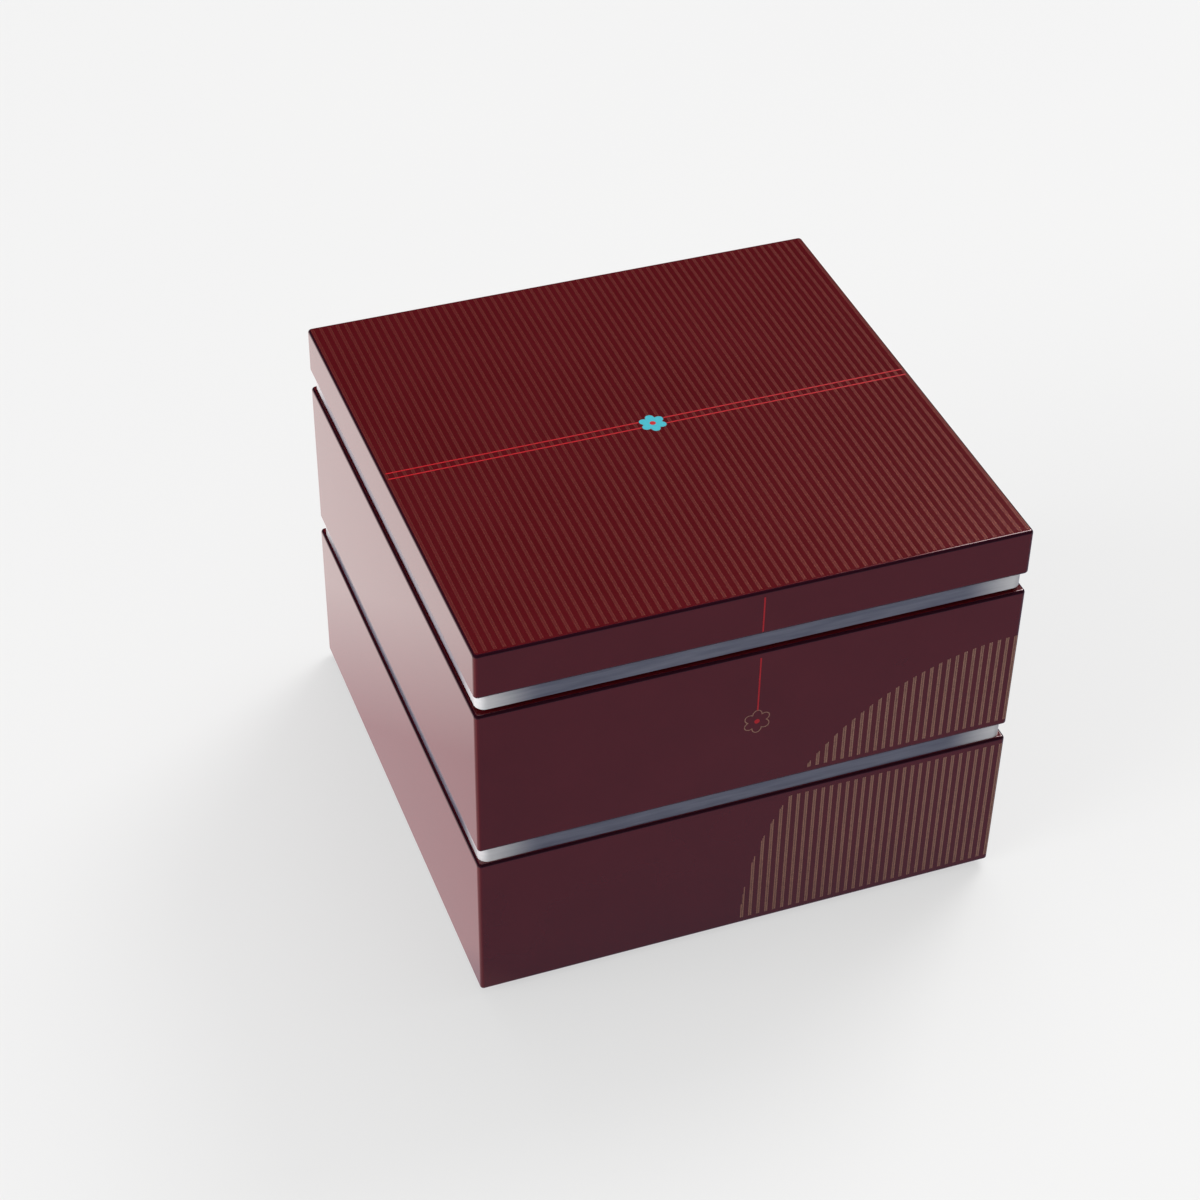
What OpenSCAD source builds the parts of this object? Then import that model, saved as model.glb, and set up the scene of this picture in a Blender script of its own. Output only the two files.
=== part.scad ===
// Stacking lacquer food box: two tiers, each closed by a soft seal lid, under one outer lid.
// Every piece is a moulding on a rounded square. +Z is up and the printed front faces -Y.

/* [Box] */
// Outside width of the box, across the rim of a tier
box_w = 180; // [150:1:240]
// Height of a tier's side, without its foot and lip
tier_h = 55.5; // [40:0.1:90]
// Height of the lid's skirt
lid_h = 16.6; // [12:0.1:30]
// Height of a seal lid's band, which shows between two pieces
band_h = 5.5; // [5:0.1:10]
// How far the upper seal lid stands above its seat, because it isn't pressed home
seal_lift = 1.3; // [0:0.1:1.5]
// Height of the foot ring under a tier
foot_h = 2.4; // [1.6:0.1:3.2]

/* [Lacquer shell] */
// Radius of the upright outer corners
corner_r = 1.4; // [1.1:0.1:3]
// Rounding of the outer edges of the tiers and the lid
edge_r = 1; // [0.4:0.1:1.1]
// How far a tier's side leans in from its rim down to its base
side_lean = 0.25; // [0:0.05:1]
// How far a tier's inner wall leans in from its mouth down to its floor
inner_lean = 0.4; // [0:0.05:1]
// Thickness of a tier's floor
floor_t = 2.4; // [1.6:0.1:5]
// Radius of a tier's upright inner corners
cavity_r = 5; // [4:0.1:9]
// Rounding between a tier's inner wall and its floor
floor_r = 3.5; // [1:0.1:3.8]
// Thickness of the lip that stands up round a tier's mouth
lip_t = 1.8; // [1.2:0.1:3]
// Rounding of the lip's two top edges
lip_edge_r = 0.5; // [0.2:0.1:0.6]
// Thickness of the foot ring under a tier
foot_t = 2; // [1.4:0.1:3]
// Rounding of the foot ring's outer edge
foot_edge_r = 0.5; // [0.2:0.1:1]

/* [Lid] */
// Thickness of the lid's top plate
lid_top_t = 2.6; // [1.8:0.1:5]
// Thickness of the lid's skirt
lid_skirt_t = 3.2; // [2.4:0.1:4]
// Radius of the upright corners inside the lid's skirt
lid_corner_r = 2; // [1.5:0.1:4]
// Rounding inside the lid, between its walls and its top plate
lid_inner_r = 1; // [0.4:0.1:1.4]
// Thickness of the ring inside the lid that finds the seal lid's recess
ring_t = 1.8; // [1.2:0.1:3]

/* [Seal lid] */
// How far the seal lid's band stands back from the side of the box
band_inset = 1.1; // [1.1:0.1:3]
// Radius of the band's upright corners
band_corner_r = 3.2; // [3:0.1:6]
// Thickness of the band's skirt
skirt_t = 1.1; // [0.8:0.1:2]
// Thickness of the flange over the lip
flange_t = 2.2; // [1.2:0.1:2.5]
// Thickness of the inner wall that plugs the tier's mouth
plug_t = 1.1; // [0.8:0.1:2]
// Thickness of the sunken panel
panel_t = 1.2; // [0.8:0.1:2]
// Rounding of the seal lid's edges
seal_edge_r = 0.4; // [0.2:0.1:0.5]

/* [Fits] */
// Gap between the seal lid and each side of the lip
grip_gap = 0.15; // [0.1:0.05:0.4]
// Gap between the top of the lip and the flange over it
lip_top_gap = 0.4; // [0.1:0.05:0.6]
// Gap between a foot ring and the wall of the recess it stands in
nest_gap = 0.4; // [0.2:0.05:1]
// Gap between the underside of a foot ring and the sunken panel
foot_gap = 0.4; // [0.2:0.05:1]

/* [Hidden] */
$fn = 64;
LACQUER = "#5a0d18";
SEAL = "#b9c0cb";

half = box_w / 2;

// Distances from the middle of the box to the faces of the nested walls, outermost first
band_out = half - band_inset;
skirt_in = band_out - skirt_t;
lip_out = skirt_in - grip_gap;
lip_in = lip_out - lip_t;
plug_out = lip_in - grip_gap;
plug_in = plug_out - plug_t;
foot_out = plug_in - nest_gap;
foot_in = foot_out - foot_t;
ring_in = foot_out - ring_t;

// Corner radii that follow their neighbours
skirt_in_r = band_corner_r - skirt_t;
lip_out_r = skirt_in_r - grip_gap;
plug_out_r = cavity_r - grip_gap;
plug_in_r = plug_out_r - plug_t;
foot_out_r = plug_in_r - nest_gap;
foot_in_r = max(foot_out_r - foot_t, 0.5);
ring_in_r = max(foot_out_r - ring_t, 0.5);

// Heights that follow their neighbours
lip_h = band_h - flange_t - lip_top_gap;
recess_d = foot_h + foot_gap;

// Heights of the pieces in the stack, from the table up
lower_tier_z = foot_h;
lower_seal_z = lower_tier_z + tier_h;
upper_tier_z = lower_seal_z + band_h;
upper_seal_z = upper_tier_z + tier_h + seal_lift;
lid_z = upper_seal_z + band_h;

// What a cut reaches past the face it opens
over = 1;

// Outline of a moulded edge, standing on its corner's upright axis at x = 0.
// It reaches out to r0 at the bottom and r1 at the top, with its outer edges rounded by e0 and e1.
module edge_outline(r0, r1, h, e0 = 0, e1 = 0) {
    lean = atan((r1 - r0) / h);
    c0 = r0 + e0 * tan(lean) - e0 / cos(lean);
    c1 = r0 + (h - e1) * tan(lean) - e1 / cos(lean);
    intersection() {
        union() {
            polygon([
                [-r1, 0],
                [c0, 0],
                [c0 + e0 * cos(lean), e0 - e0 * sin(lean)],
                [c1 + e1 * cos(lean), h - e1 - e1 * sin(lean)],
                [c1, h],
                [-r1, h]
            ]);
            if (e0 > 0) translate([c0, e0]) circle(e0);
            if (e1 > 0) translate([c1, h - e1]) circle(e1);
        }
        square([r0 + r1, h]);
    }
}

// Rounding e, kept just inside the corner radius r that it runs round
function fitted(e, r) = max(min(e, r - 0.1), 0);

// Block on a rounded square of half width w and corner radius r, its edge shaped by edge_outline().
// lean is how far the side leans in from the top down to the bottom.
module moulded_block(w, r, h, lean = 0, e0 = 0, e1 = 0) {
    core = w - r;
    r0 = r - lean;
    translate([-core, -core, 0]) cube([2 * core, 2 * core, h]);
    for (turn = [0:90:270]) rotate([0, 0, turn]) translate([core, core, 0]) {
        rotate([90, 0, 0]) linear_extrude(2 * core) edge_outline(r0, r, h, fitted(e0, r0), fitted(e1, r));
        rotate_extrude(angle = 90) edge_outline(r0, r, h, fitted(e0, r0), fitted(e1, r));
    }
}

// Tray with a foot ring below and a lip round its mouth, from the base of its side up
module tier() {
    difference() {
        union() {
            moulded_block(half, corner_r, tier_h, side_lean, edge_r, edge_r);
            translate([0, 0, tier_h - edge_r]) moulded_block(lip_out, lip_out_r, lip_h + edge_r, 0, 0, lip_edge_r);
            translate([0, 0, -foot_h]) moulded_block(foot_out, foot_out_r, foot_h + floor_t / 2, 0, foot_edge_r, 0);
        }
        translate([0, 0, floor_t])
            moulded_block(lip_in, cavity_r, tier_h + lip_h + over - floor_t, inner_lean, floor_r, 0);
        translate([0, 0, -foot_h - over]) moulded_block(foot_in, foot_in_r, foot_h + over);
    }
}

// Soft lid: a channel that sits over a tier's lip, with a sunken panel inside. z = 0 is the tier's ledge.
module seal_lid() {
    panel_z = band_h - recess_d - panel_t;
    difference() {
        moulded_block(band_out, band_corner_r, band_h, 0, 0, seal_edge_r);
        translate([0, 0, band_h - recess_d]) moulded_block(plug_in, plug_in_r, recess_d + over);
        difference() {
            translate([0, 0, -over]) moulded_block(skirt_in, skirt_in_r, band_h - flange_t + over);
            translate([0, 0, panel_z]) moulded_block(plug_out, plug_out_r, band_h, 0, seal_edge_r, 0);
        }
    }
}

// Outer lid, from the bottom of its skirt up, with the ring that drops into the seal lid's recess
module cover() {
    hollow_h = lid_h - lid_top_t;
    difference() {
        union() {
            moulded_block(half, corner_r, lid_h, 0, edge_r, edge_r);
            translate([0, 0, -foot_h]) moulded_block(foot_out, foot_out_r, foot_h + hollow_h, 0, foot_edge_r, 0);
        }
        difference() {
            translate([0, 0, -over])
                moulded_block(half - lid_skirt_t, lid_corner_r, hollow_h + over, 0, 0, lid_inner_r);
            translate([0, 0, -foot_h]) moulded_block(foot_out, foot_out_r, foot_h + lid_h, 0, foot_edge_r, 0);
        }
        translate([0, 0, -foot_h - over])
            moulded_block(ring_in, ring_in_r, foot_h + hollow_h + over, 0, 0, lid_inner_r);
    }
}

module lower_tier() { color(LACQUER) translate([0, 0, lower_tier_z]) tier(); }

module lower_seal_lid() { color(SEAL) translate([0, 0, lower_seal_z]) seal_lid(); }

module upper_tier() { color(LACQUER) translate([0, 0, upper_tier_z]) tier(); }

module upper_seal_lid() { color(SEAL) translate([0, 0, upper_seal_z]) seal_lid(); }

module lid() { color(LACQUER) translate([0, 0, lid_z]) cover(); }

lower_tier();
lower_seal_lid();
upper_tier();
upper_seal_lid();
lid();
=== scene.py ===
"""Looks of the stacking lacquer food box: finishes, printed decoration, floor, light and camera.

Lengths are in metres in the part's own frame: +Z up, the printed front faces -Y. Colours are linear.
"""

from math import cos, radians, sin, sqrt, tau

import bmesh
import bpy
from mathutils import Matrix, Vector


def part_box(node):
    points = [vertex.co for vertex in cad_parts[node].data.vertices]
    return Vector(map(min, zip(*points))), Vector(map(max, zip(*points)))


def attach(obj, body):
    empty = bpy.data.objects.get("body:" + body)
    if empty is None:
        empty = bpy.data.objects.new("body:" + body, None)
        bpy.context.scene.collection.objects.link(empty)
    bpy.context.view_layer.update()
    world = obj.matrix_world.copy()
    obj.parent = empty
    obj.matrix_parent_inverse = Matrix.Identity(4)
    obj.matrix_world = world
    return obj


MM = 0.001

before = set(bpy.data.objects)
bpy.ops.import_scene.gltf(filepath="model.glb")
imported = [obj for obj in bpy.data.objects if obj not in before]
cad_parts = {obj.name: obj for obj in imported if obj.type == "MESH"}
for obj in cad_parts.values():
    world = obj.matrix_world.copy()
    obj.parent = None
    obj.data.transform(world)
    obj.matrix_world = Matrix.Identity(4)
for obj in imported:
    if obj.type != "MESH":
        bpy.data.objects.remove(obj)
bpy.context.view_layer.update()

# Camera, as a pinhole fitted to the corners of the box in the photograph
CAM_AZIMUTH = radians(-20.68)
CAM_ELEVATION = radians(39.18)
CAM_ROLL = radians(0.924)
CAM_DISTANCE = 0.86401
CAM_SHIFT_RIGHT = 0.01726
CAM_SHIFT_UP = 0.05600
CAM_NEAR = 0.05
FOCAL_PIXELS = 2700.7
PHOTO_PIXELS = 1200
SENSOR = 36.0

# Floor: half its width, the share of plain backdrop in what the camera sees of it, and its strength
FLOOR_REACH = 4.0
FLOOR_BACKDROP = 0.54
FLOOR_BACKDROP_COLOR = (1.04, 1.04, 1.04, 1)

# Painted reflection: what gloss sees of the floor is a glow, not the lit floor, with painted shade at the
# front right, a pink painted shadow beside the box and a lit floor at the back left. Its colours run along
# a line from the front right of the box to its back left, placed from 0 to 1 between two distances from the
# middle of the box
MIRROR_DIRECTION = (-sqrt(0.5), sqrt(0.5), 0)
MIRROR_START = -0.15
MIRROR_END = 0.25
MIRROR_BLUISH = (0.22, 0.22, 0.30)
MIRROR_PINK = (0.66, 0.46, 0.48)
MIRROR_BRIGHT = (0.98, 0.84, 0.83)
MIRROR_STOPS = [(0.34, MIRROR_BLUISH), (0.42, MIRROR_PINK), (0.62, MIRROR_PINK), (0.78, MIRROR_BRIGHT)]

# Strength of the world: a soft dome for diffuse rays, a pale backdrop for the camera, a dim room for gloss
WORLD_DOME = 0.46
WORLD_BACKDROP = 0.86
WORLD_ROOM = 0.01

# Sizes of the solids that their boxes don't give
FOOT_HEIGHT = 2.4 * MM
TIER_HEIGHT = 55.5 * MM
SIDE_LEAN = 0.25 * MM

# Printed stripes, each of two lines with a speckled fill between them
PRINT_HEIGHT = 0.02 * MM
STRIPE_COUNT = 63
STRIPE_SPLIT = 0.75 * MM
STRIPE_WIDTH = 0.34 * MM
STRIPE_MARGIN = 1.4 * MM
FRONT_MARGIN = 2.5 * MM

# The front stripes end on a large circle round the right edge, at a height of its own on each tier
ARC_RADIUS = 90.5 * MM
LOWER_ARC_RISE = 3.9 * MM
UPPER_ARC_RISE = 8.2 * MM

# Red lines over the lid and down the front
RED_WIDTH = 0.5 * MM
RED_LID_Y = (2.8 * MM, -0.25 * MM)
FRONT_LINE_X = 0.9 * MM
LID_LINE_RISE = 1.2 * MM
LID_LINE_DROP = 2.2 * MM
TIER_LINE_DROP = 2.4 * MM

# Flower on the lid, and the clear circle that stripes and lines leave for it
PETAL_COUNT = 6
PETAL_ROUNDNESS = 0.8
FLOWER_Y = 1.1 * MM
FLOWER_CLEAR = 4.4 * MM
FLOWER_NOTCH = 3.2 * MM
FLOWER_TIP = 4.6 * MM
FLOWER_HEART = 1.0 * MM
FLOWER_LINE = 0.22 * MM

# Outlined blossom on the front, below the lid's top by BLOSSOM_DROP
BLOSSOM_DROP = 51.5 * MM
BLOSSOM_NOTCH = 3.0 * MM
BLOSSOM_TIP = 4.5 * MM
BLOSSOM_HEART = 0.9 * MM
BLOSSOM_LINE = 0.3 * MM

# Distances from the side of the box between which painted light turns the seal resin from dark to pale at a
# corner
RESIN_DARK_INSET = 22 * MM
RESIN_PALE_OUTSET = 1 * MM

# How far an ink's roughness varies with its grain
INK_ROUGHNESS_SPREAD = 0.06

# Specular level of the inks on the lid, low so that their colour stays near the lacquer's
LID_INK_GLOSS = 0.15

# Places taken from the frame. The lid's own box reaches down to its ring, below its skirt.
LID_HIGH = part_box("lid")[1]
HALF = LID_HIGH.x
TOP = LID_HIGH.z
SKIRT_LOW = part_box("upper_seal_lid")[1].z
LOWER_SIDE_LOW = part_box("lower_tier")[0].z + FOOT_HEIGHT
UPPER_SIDE_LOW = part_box("lower_seal_lid")[1].z

# Lowest and highest Z of each tier's side, without its foot and lip
LOWER_SIDE = (LOWER_SIDE_LOW, LOWER_SIDE_LOW + TIER_HEIGHT)
UPPER_SIDE = (UPPER_SIDE_LOW, UPPER_SIDE_LOW + TIER_HEIGHT)

PITCH = 2 * HALF / STRIPE_COUNT
PRINT_END = HALF - STRIPE_MARGIN


def set_camera():
    back = Vector((
        sin(CAM_AZIMUTH) * cos(CAM_ELEVATION),
        -cos(CAM_AZIMUTH) * cos(CAM_ELEVATION),
        sin(CAM_ELEVATION),
    ))
    right = Vector((cos(CAM_AZIMUTH), sin(CAM_AZIMUTH), 0))
    up = back.cross(right)
    rolled_right = cos(CAM_ROLL) * right + sin(CAM_ROLL) * up
    rolled_up = cos(CAM_ROLL) * up - sin(CAM_ROLL) * right
    data = bpy.data.cameras.new("camera")
    data.sensor_width = SENSOR
    data.lens = SENSOR * FOCAL_PIXELS / PHOTO_PIXELS
    data.clip_start = CAM_NEAR
    camera = bpy.data.objects.new("camera", data)
    bpy.context.scene.collection.objects.link(camera)
    place = Vector((0, 0, TOP)) + CAM_DISTANCE * back
    place -= CAM_SHIFT_RIGHT * rolled_right
    place -= CAM_SHIFT_UP * rolled_up
    turn = Matrix((rolled_right, rolled_up, back)).transposed().to_4x4()
    camera.matrix_world = Matrix.Translation(place) @ turn
    bpy.context.scene.camera = camera


def new_material(name):
    material = bpy.data.materials.new(name)
    material.use_nodes = True
    tree = material.node_tree
    return material, tree, tree.nodes["Principled BSDF"]


def add(tree, kind, **values):
    node = tree.nodes.new(kind)
    for key, value in values.items():
        setattr(node, key, value)
    return node


def set_inputs(node, values):
    for name, value in values.items():
        node.inputs[name].default_value = value


def noise(tree, scale, detail, stretch=(1, 1, 1)):
    """Noise in the piece's own coordinates, so that it moves with the piece."""
    place = add(tree, "ShaderNodeTexCoord")
    mapping = add(tree, "ShaderNodeMapping")
    set_inputs(mapping, {"Scale": stretch})
    texture = add(tree, "ShaderNodeTexNoise")
    set_inputs(texture, {"Scale": scale, "Detail": detail})
    tree.links.new(place.outputs["Object"], mapping.inputs["Vector"])
    tree.links.new(mapping.outputs["Vector"], texture.inputs["Vector"])
    return texture.outputs["Fac"]


def ramp(tree, source, stops):
    """Colour by source, from (position, colour) stops."""
    node = add(tree, "ShaderNodeValToRGB")
    elements = node.color_ramp.elements
    while len(elements) < len(stops):
        elements.new(0.5)
    for element, (position, color) in zip(elements, stops):
        element.position = position
        element.color = (*color, 1)
    tree.links.new(source, node.inputs["Fac"])
    return node.outputs["Color"]


def level(tree, source, low, high, start=0.0, end=1.0, curve="LINEAR"):
    """source from start to end, spread over low to high and held there beyond."""
    node = add(tree, "ShaderNodeMapRange", interpolation_type=curve)
    set_inputs(node, {"From Min": start, "From Max": end, "To Min": low, "To Max": high})
    tree.links.new(source, node.inputs["Value"])
    return node.outputs["Result"]


def unsigned(tree, vector, axis):
    """One axis of a vector, without its sign."""
    parts = add(tree, "ShaderNodeSeparateXYZ")
    size = add(tree, "ShaderNodeMath", operation="ABSOLUTE")
    tree.links.new(vector, parts.inputs["Vector"])
    tree.links.new(parts.outputs[axis], size.inputs[0])
    return size.outputs["Value"]


def mix_shaders(tree, factor, first, second):
    node = add(tree, "ShaderNodeMixShader")
    tree.links.new(factor, node.inputs["Fac"])
    tree.links.new(first, node.inputs[1])
    tree.links.new(second, node.inputs[2])
    return node.outputs["Shader"]


def bump(tree, shader, height, distance, strength, socket="Normal"):
    node = add(tree, "ShaderNodeBump")
    set_inputs(node, {"Strength": strength, "Distance": distance})
    tree.links.new(height, node.inputs["Height"])
    tree.links.new(node.outputs["Normal"], shader.inputs[socket])


def edge_shade_mask(tree):
    """Mask of the painted shade: 1 on the rounded edges between upright and level faces, 0 on the faces
    themselves.
    """
    face = add(tree, "ShaderNodeNewGeometry")
    slope = unsigned(tree, face.outputs["Normal"], "Z")
    off = (0.0, 0.0, 0.0)
    on = (1.0, 1.0, 1.0)
    return ramp(tree, slope, [(0.06, off), (0.30, on), (0.94, on), (0.995, off)])


def lacquer():
    """Clouded burgundy lacquer under a clear coat, with painted shade over the rounded edges, which are
    coloured darker and more purple.
    """
    material, tree, shader = new_material("burgundy_lacquer")
    deep = (0.074, 0.0032, 0.0056)
    pale = (0.082, 0.0042, 0.0072)
    # Painted shade: this darker, more purple colour on every rounded edge stands in for the shade on the
    # rims and on the ledges under the seal lids.
    edge = (0.020, 0.0030, 0.0080, 1)
    cloud = noise(tree, scale=45, detail=3)
    painted_lighting_mix = add(tree, "ShaderNodeMix", data_type="RGBA")
    painted_lighting_mix.inputs["B"].default_value = edge
    tree.links.new(edge_shade_mask(tree), painted_lighting_mix.inputs["Factor"])
    tree.links.new(ramp(tree, cloud, [(0.3, deep), (0.7, pale)]), painted_lighting_mix.inputs["A"])
    tree.links.new(painted_lighting_mix.outputs["Result"], shader.inputs["Base Color"])
    haze = level(tree, noise(tree, scale=900, detail=2), low=0.10, high=0.20)
    tree.links.new(haze, shader.inputs["Roughness"])
    set_inputs(shader, {
        "IOR": 1.45,
        "Specular Tint": (1.0, 0.55, 0.58, 1),
        "Coat Weight": 1.0,
        "Coat Roughness": 0.04,
        "Coat IOR": 1.4,
    })
    ripple = noise(tree, scale=260, detail=2)
    bump(tree, shader, ripple, distance=0.02 * MM, strength=0.12, socket="Coat Normal")
    return material


def corner_glow_mask(tree):
    """Mask of the painted light on the seal resin: 0 along the middle of each side of the box, rising to 1
    at its upright corners.
    """
    place = add(tree, "ShaderNodeTexCoord")
    least = add(tree, "ShaderNodeMath", operation="MINIMUM")
    for slot, axis in enumerate("XY"):
        tree.links.new(unsigned(tree, place.outputs["Object"], axis), least.inputs[slot])
    start = HALF - RESIN_DARK_INSET
    end = HALF + RESIN_PALE_OUTSET
    return level(tree, least.outputs["Value"], 0.0, 1.0, start, end, "SMOOTHSTEP")


def seal_resin():
    """Soft bluish resin with faint streaks, painted pale at the corners as if light came through there."""
    material, tree, shader = new_material("seal_resin")
    streaks = noise(tree, scale=60, detail=3, stretch=(1, 1, 14))
    thick = ramp(tree, streaks, [(0.3, (0.095, 0.104, 0.150)), (0.7, (0.150, 0.158, 0.210))])
    # Painted light: this pale colour at the corners stands for light coming through the resin there.
    clear = ramp(tree, streaks, [(0.3, (0.66, 0.66, 0.68)), (0.7, (0.76, 0.76, 0.77))])
    painted_lighting_mix = add(tree, "ShaderNodeMix", data_type="RGBA")
    tree.links.new(corner_glow_mask(tree), painted_lighting_mix.inputs["Factor"])
    tree.links.new(thick, painted_lighting_mix.inputs["A"])
    tree.links.new(clear, painted_lighting_mix.inputs["B"])
    tree.links.new(painted_lighting_mix.outputs["Result"], shader.inputs["Base Color"])
    tree.links.new(level(tree, streaks, low=0.28, high=0.42), shader.inputs["Roughness"])
    set_inputs(shader, {"IOR": 1.5, "Coat Weight": 0.7, "Coat Roughness": 0.12})
    ripple = noise(tree, scale=500, detail=2)
    bump(tree, shader, ripple, distance=0.03 * MM, strength=0.15)
    return material


def print_ink(name, dark, light, roughness=0.35, gloss=0.5):
    """Screen-printed ink with a fine grain."""
    material, tree, shader = new_material(name)
    grain = noise(tree, scale=3500, detail=2)
    tree.links.new(ramp(tree, grain, [(0.35, dark), (0.65, light)]), shader.inputs["Base Color"])
    low = roughness - INK_ROUGHNESS_SPREAD
    high = roughness + INK_ROUGHNESS_SPREAD
    tree.links.new(level(tree, grain, low, high), shader.inputs["Roughness"])
    set_inputs(shader, {"Specular IOR Level": gloss})
    bump(tree, shader, grain, distance=0.01 * MM, strength=0.2)
    return material


def gold_ink():
    """Burgundy ink with metal flakes, which catch the key lamp."""
    material, tree, shader = new_material("gold_ink")
    ink = (0.100, 0.008, 0.010)
    gold = (0.40, 0.17, 0.10)
    flake_edge = 0.53
    flakes = noise(tree, scale=5200, detail=1)
    tree.links.new(ramp(tree, flakes, [(flake_edge, ink), (0.65, gold)]), shader.inputs["Base Color"])
    tree.links.new(level(tree, flakes, 0.0, 1.0, start=flake_edge, end=0.63), shader.inputs["Metallic"])
    tree.links.new(level(tree, flakes, low=0.24, high=0.32), shader.inputs["Roughness"])
    set_inputs(shader, {"Specular IOR Level": LID_INK_GLOSS})
    bump(tree, shader, flakes, distance=0.01 * MM, strength=0.2)
    return material


def print_piece(name, material, body, draw, *details):
    """Mesh piece made by draw(shape, *details), which rides on a CAD body and carries the given material.
    """
    mesh = bpy.data.meshes.new(name)
    shape = bmesh.new()
    draw(shape, *details)
    bmesh.ops.recalc_face_normals(shape, faces=shape.faces)
    shape.to_mesh(mesh)
    shape.free()
    mesh.materials.append(material)
    piece = bpy.data.objects.new(name, mesh)
    bpy.context.scene.collection.objects.link(piece)
    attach(piece, body)


def on_lid(x, y, lift=0.0):
    """Place on the lid's top."""
    return Vector((x, y, TOP + lift))


def on_lid_print(x, y, lift=0.0):
    """Place on top of what is printed on the lid already."""
    return on_lid(x, y, lift + PRINT_HEIGHT)


def on_lid_front(x, z, lift=0.0):
    """Place on the upright front of the lid."""
    return Vector((x, -HALF - lift, z))


def on_tier_front(side):
    """Place on the front of a tier, which leans in towards its foot."""

    def place(x, z, lift=0.0):
        lean = SIDE_LEAN * (side[1] - z) / (side[1] - side[0])
        return Vector((x, -HALF + lean - lift, z))

    return place


def plate(shape, place, outline):
    """Thin closed plate of ink over an outline of (u, v) points."""
    bottom = [shape.verts.new(place(u, v)) for u, v in outline]
    top = [shape.verts.new(place(u, v, PRINT_HEIGHT)) for u, v in outline]
    shape.faces.new(bottom[::-1])
    shape.faces.new(top)
    for i in range(len(outline)):
        j = (i + 1) % len(outline)
        shape.faces.new((bottom[i], bottom[j], top[j], top[i]))


def strip(shape, place, u0, u1, v0, v1):
    """Rectangle of ink, left out where it would have no size."""
    if v1 > v0 and u1 > u0:
        plate(shape, place, [(u0, v0), (u1, v0), (u1, v1), (u0, v1)])


def band(shape, place, outline, width):
    """Closed line of ink along an outline, as one ring of quads with a little height."""
    count = len(outline)
    rings = {}
    for side in (-0.5, 0.5):
        for lift in (0.0, PRINT_HEIGHT):
            ring = []
            for i in range(count):
                before = Vector(outline[i - 1])
                after = Vector(outline[(i + 1) % count])
                along = (after - before).normalized()
                point = Vector(outline[i]) + Vector((along.y, -along.x)) * side * width
                ring.append(shape.verts.new(place(point.x, point.y, lift)))
            rings[side, lift] = ring
    loops = [rings[-0.5, 0.0], rings[-0.5, PRINT_HEIGHT], rings[0.5, PRINT_HEIGHT], rings[0.5, 0.0]]
    for first, second in zip(loops, loops[1:] + loops[:1]):
        for i in range(count):
            j = (i + 1) % count
            shape.faces.new((first[i], first[j], second[j], second[i]))


def stripe_middles():
    reach = STRIPE_COUNT // 2
    return [k * PITCH for k in range(-reach, reach + 1)]


def stripe_lines():
    """Left and right edge of each printed line, two to a stripe."""
    for middle in stripe_middles():
        for x in (middle - STRIPE_SPLIT / 2, middle + STRIPE_SPLIT / 2):
            yield x - STRIPE_WIDTH / 2, x + STRIPE_WIDTH / 2


def stripe_fills():
    """Left and right edge of the fill between the two lines of each stripe."""
    reach = (STRIPE_SPLIT - STRIPE_WIDTH) / 2
    for middle in stripe_middles():
        yield middle - reach, middle + reach


def lobed(notch, tip, u, v, steps=16):
    """Outline of a flower of round petals about (u, v), from radius notch between them to tip."""
    points = []
    count = PETAL_COUNT * steps
    for i in range(count):
        turn = tau * i / count
        swell = abs(sin(PETAL_COUNT * turn / 2)) ** PETAL_ROUNDNESS
        radius = notch + (tip - notch) * swell
        points.append((u + radius * cos(turn), v + radius * sin(turn)))
    return points


def disc(radius, u, v, steps=32):
    turns = [tau * i / steps for i in range(steps)]
    return [(u + radius * cos(turn), v + radius * sin(turn)) for turn in turns]


def lid_stripes(shape, edges):
    """Stripes from front to back over the lid, broken round the flower."""
    for a, b in edges:
        x = (a + b) / 2
        if abs(x) < FLOWER_CLEAR:
            gap = sqrt(FLOWER_CLEAR**2 - x**2)
            strip(shape, on_lid, a, b, -PRINT_END, FLOWER_Y - gap)
            strip(shape, on_lid, a, b, FLOWER_Y + gap, PRINT_END)
        else:
            strip(shape, on_lid, a, b, -PRINT_END, PRINT_END)


def lid_red_lines(shape):
    """Two lines across the stripes, broken round the flower."""
    for y in RED_LID_Y:
        gap = sqrt(FLOWER_CLEAR**2 - (y - FLOWER_Y) ** 2)
        low = y - RED_WIDTH / 2
        high = y + RED_WIDTH / 2
        strip(shape, on_lid_print, -PRINT_END, -gap, low, high)
        strip(shape, on_lid_print, gap, PRINT_END, low, high)


def front_stripes(shape, edges, side, arc_z):
    """Upright stripes on a tier's front, inside a large circle about its right edge at arc_z."""
    place = on_tier_front(side)
    low = side[0] + FRONT_MARGIN
    high = side[1] - FRONT_MARGIN
    for a, b in edges:
        x = (a + b) / 2
        if abs(x - HALF) < ARC_RADIUS:
            crest = arc_z + sqrt(ARC_RADIUS**2 - (x - HALF) ** 2)
            strip(shape, place, a, b, low, min(crest, high))


def decorate_lid(gold, fill, red, turquoise):
    petals = lobed(FLOWER_NOTCH, FLOWER_TIP, 0, FLOWER_Y)
    heart = disc(FLOWER_HEART, 0, FLOWER_Y)
    print_piece("lid_pinstripes", gold, "lid", lid_stripes, stripe_lines())
    print_piece("lid_stripe_fill", fill, "lid", lid_stripes, stripe_fills())
    print_piece("lid_red_lines", red, "lid", lid_red_lines)
    print_piece("lid_flower", turquoise, "lid", plate, on_lid, petals)
    print_piece("lid_flower_outline", gold, "lid", band, on_lid_print, petals, FLOWER_LINE)
    print_piece("lid_flower_heart", red, "lid", plate, on_lid_print, heart)


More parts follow.
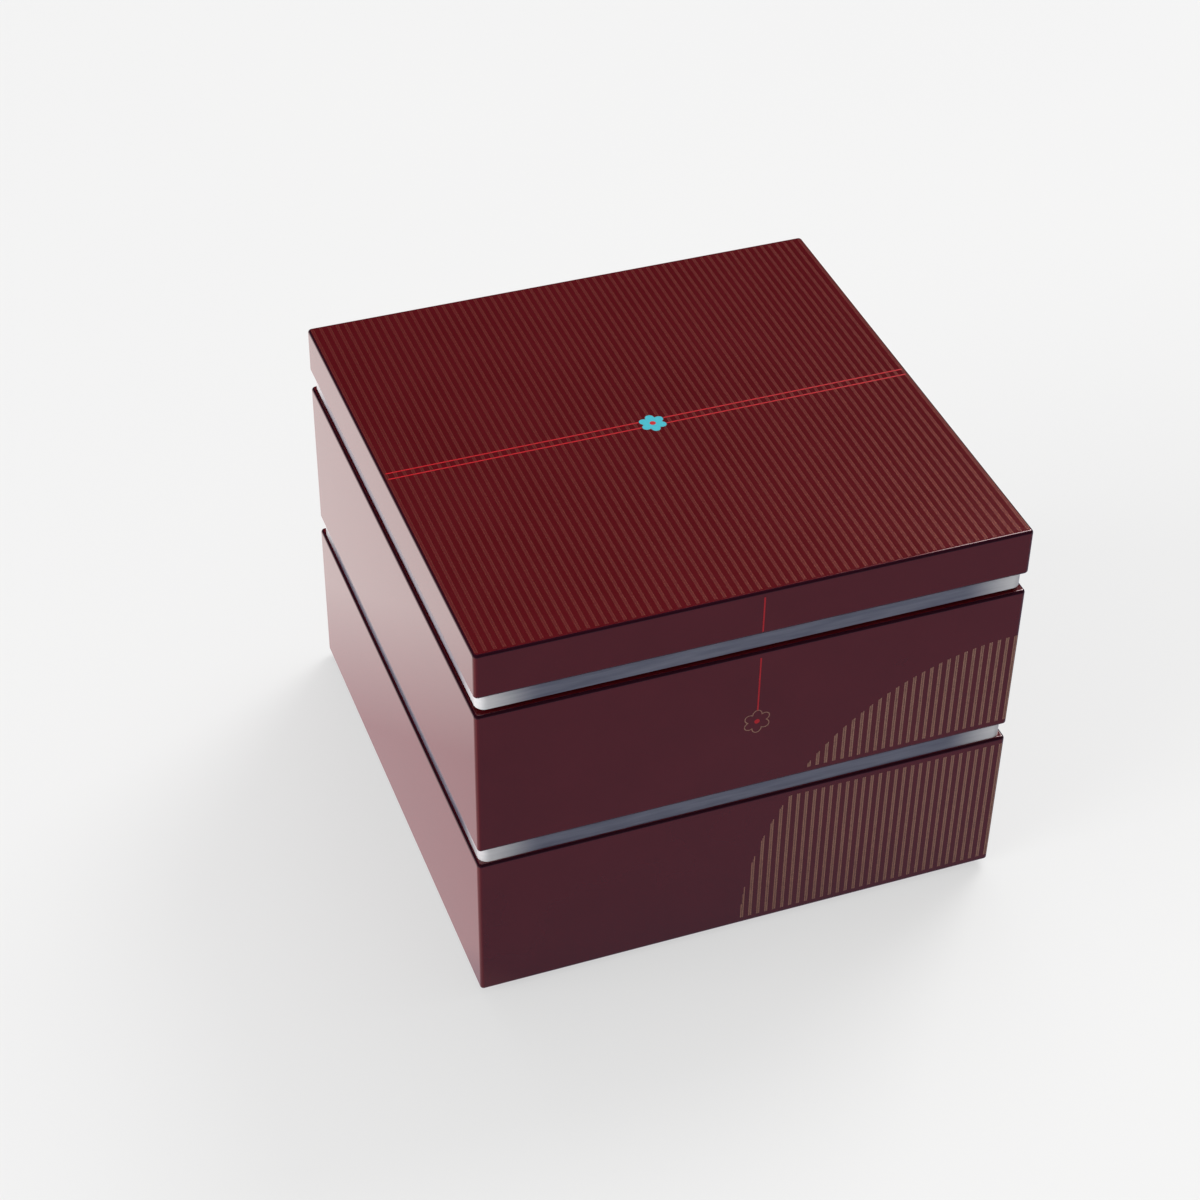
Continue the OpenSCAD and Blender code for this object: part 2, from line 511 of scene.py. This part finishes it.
def decorate_front(gold, fill, red):
    arcs = {
        "lower_tier": (LOWER_SIDE, LOWER_SIDE_LOW + LOWER_ARC_RISE),
        "upper_tier": (UPPER_SIDE, LOWER_SIDE_LOW + UPPER_ARC_RISE),
    }
    for tier, (side, arc_z) in arcs.items():
        print_piece(tier + "_pinstripes", gold, tier, front_stripes, stripe_lines(), side, arc_z)
        print_piece(tier + "_stripe_fill", fill, tier, front_stripes, stripe_fills(), side, arc_z)

    left = FRONT_LINE_X - RED_WIDTH / 2
    right = FRONT_LINE_X + RED_WIDTH / 2
    lid_line = (left, right, SKIRT_LOW + LID_LINE_RISE, TOP - LID_LINE_DROP)
    print_piece("lid_front_line", red, "lid", strip, on_lid_front, *lid_line)

    leaning = on_tier_front(UPPER_SIDE)
    blossom_z = TOP - BLOSSOM_DROP
    tier_line = (left, right, blossom_z + BLOSSOM_TIP, UPPER_SIDE[1] - TIER_LINE_DROP)
    print_piece("upper_tier_front_line", red, "upper_tier", strip, leaning, *tier_line)

    petals = lobed(BLOSSOM_NOTCH, BLOSSOM_TIP, FRONT_LINE_X, blossom_z)
    heart = disc(BLOSSOM_HEART, FRONT_LINE_X, blossom_z)
    print_piece("front_blossom", gold, "upper_tier", band, leaning, petals, BLOSSOM_LINE)
    print_piece("front_blossom_heart", red, "upper_tier", plate, leaning, heart)


def floor_material():
    material, tree, shader = new_material("pale_floor")
    grey = (0.56, 0.56, 0.56)
    pale = (0.575, 0.575, 0.57)
    shade = ramp(tree, noise(tree, scale=3, detail=2), [(0.3, grey), (0.7, pale)])
    tree.links.new(shade, shader.inputs["Base Color"])
    set_inputs(shader, {"Roughness": 0.55, "Specular IOR Level": 0.2})
    path = add(tree, "ShaderNodeLightPath")

    # The camera sees the floor part lit and part plain backdrop, which keeps its shadow soft
    backdrop = add(tree, "ShaderNodeEmission")
    set_inputs(backdrop, {"Color": FLOOR_BACKDROP_COLOR})
    share = add(tree, "ShaderNodeMath", operation="MULTIPLY")
    share.inputs[1].default_value = FLOOR_BACKDROP
    tree.links.new(path.outputs["Is Camera Ray"], share.inputs[0])
    seen = mix_shaders(tree, share.outputs["Value"], shader.outputs["BSDF"], backdrop.outputs["Emission"])

    # Painted reflection: gloss sees the floor as a glow, dim with painted shade at the front right and
    # bright at the back left
    place = add(tree, "ShaderNodeNewGeometry")
    across = add(tree, "ShaderNodeVectorMath", operation="DOT_PRODUCT")
    across.inputs[1].default_value = MIRROR_DIRECTION
    tree.links.new(place.outputs["Position"], across.inputs[0])
    spread = level(tree, across.outputs["Value"], 0.0, 1.0, MIRROR_START, MIRROR_END)
    painted_reflection = add(tree, "ShaderNodeEmission")
    tree.links.new(ramp(tree, spread, MIRROR_STOPS), painted_reflection.inputs["Color"])
    surface = mix_shaders(tree, path.outputs["Is Glossy Ray"], seen, painted_reflection.outputs["Emission"])
    tree.links.new(surface, tree.nodes["Material Output"].inputs["Surface"])
    return material


def set_floor():
    corners = [(-1, -1), (1, -1), (1, 1), (-1, 1)]
    mesh = bpy.data.meshes.new("floor")
    mesh.from_pydata([(x * FLOOR_REACH, y * FLOOR_REACH, 0) for x, y in corners], [], [(0, 1, 2, 3)])
    mesh.materials.append(floor_material())
    floor = bpy.data.objects.new("floor", mesh)
    bpy.context.scene.collection.objects.link(floor)


def set_world():
    world = bpy.data.worlds.new("studio")
    bpy.context.scene.world = world
    world.use_nodes = True
    tree = world.node_tree
    background = tree.nodes["Background"]
    set_inputs(background, {"Color": (1.0, 1.0, 1.0, 1)})
    path = add(tree, "ShaderNodeLightPath")
    camera_mix = add(tree, "ShaderNodeMix", data_type="FLOAT")
    set_inputs(camera_mix, {"A": WORLD_DOME, "B": WORLD_BACKDROP})
    tree.links.new(path.outputs["Is Camera Ray"], camera_mix.inputs["Factor"])
    gloss_mix = add(tree, "ShaderNodeMix", data_type="FLOAT")
    set_inputs(gloss_mix, {"B": WORLD_ROOM})
    tree.links.new(path.outputs["Is Glossy Ray"], gloss_mix.inputs["Factor"])
    tree.links.new(camera_mix.outputs["Result"], gloss_mix.inputs["A"])
    tree.links.new(gloss_mix.outputs["Result"], background.inputs["Strength"])


def sun(name, azimuth, elevation, strength, spread, in_gloss=False):
    """Soft sun lamp. Azimuth turns in degrees from +Y to +X, and spread is the width of its disc."""
    data = bpy.data.lights.new(name, "SUN")
    data.energy = strength
    data.angle = radians(spread)
    lamp = bpy.data.objects.new(name, data)
    turn = radians(azimuth)
    rise = radians(elevation)
    towards = Vector((sin(turn) * cos(rise), cos(turn) * cos(rise), sin(rise)))
    lamp.rotation_euler = towards.to_track_quat("Z", "Y").to_euler()
    lamp.visible_glossy = in_gloss
    bpy.context.scene.collection.objects.link(lamp)


def finish_solids(finishes):
    for node, material in finishes.items():
        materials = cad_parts[node].data.materials
        materials.clear()
        materials.append(material)


set_camera()
set_floor()
set_world()
sun("key", azimuth=52, elevation=42, strength=1.45, spread=26, in_gloss=True)
sun("top", azimuth=40, elevation=64, strength=1.25, spread=50)
sun("side", azimuth=-96, elevation=12, strength=3.0, spread=50)

LACQUER = lacquer()
SEAL = seal_resin()
GOLD = gold_ink()
RED = print_ink("red_ink", (0.38, 0.001, 0.006), (0.48, 0.002, 0.010))
TAN = print_ink("tan_gold_ink", (0.20, 0.095, 0.065), (0.36, 0.19, 0.13), roughness=0.4)
TAN_FILL = print_ink("tan_speckle_ink", (0.085, 0.012, 0.014), (0.24, 0.12, 0.08))
LID_FILL = print_ink("red_speckle_ink", (0.078, 0.0036, 0.0062), (0.096, 0.008, 0.010), gloss=LID_INK_GLOSS)
TURQUOISE = print_ink("turquoise_ink", (0.030, 0.34, 0.42), (0.045, 0.42, 0.50))

finish_solids({
    "lower_tier": LACQUER,
    "lower_seal_lid": SEAL,
    "upper_tier": LACQUER,
    "upper_seal_lid": SEAL,
    "lid": LACQUER,
})
decorate_lid(GOLD, LID_FILL, RED, TURQUOISE)
decorate_front(TAN, TAN_FILL, RED)

bpy.context.scene.view_settings.view_transform = "Standard"
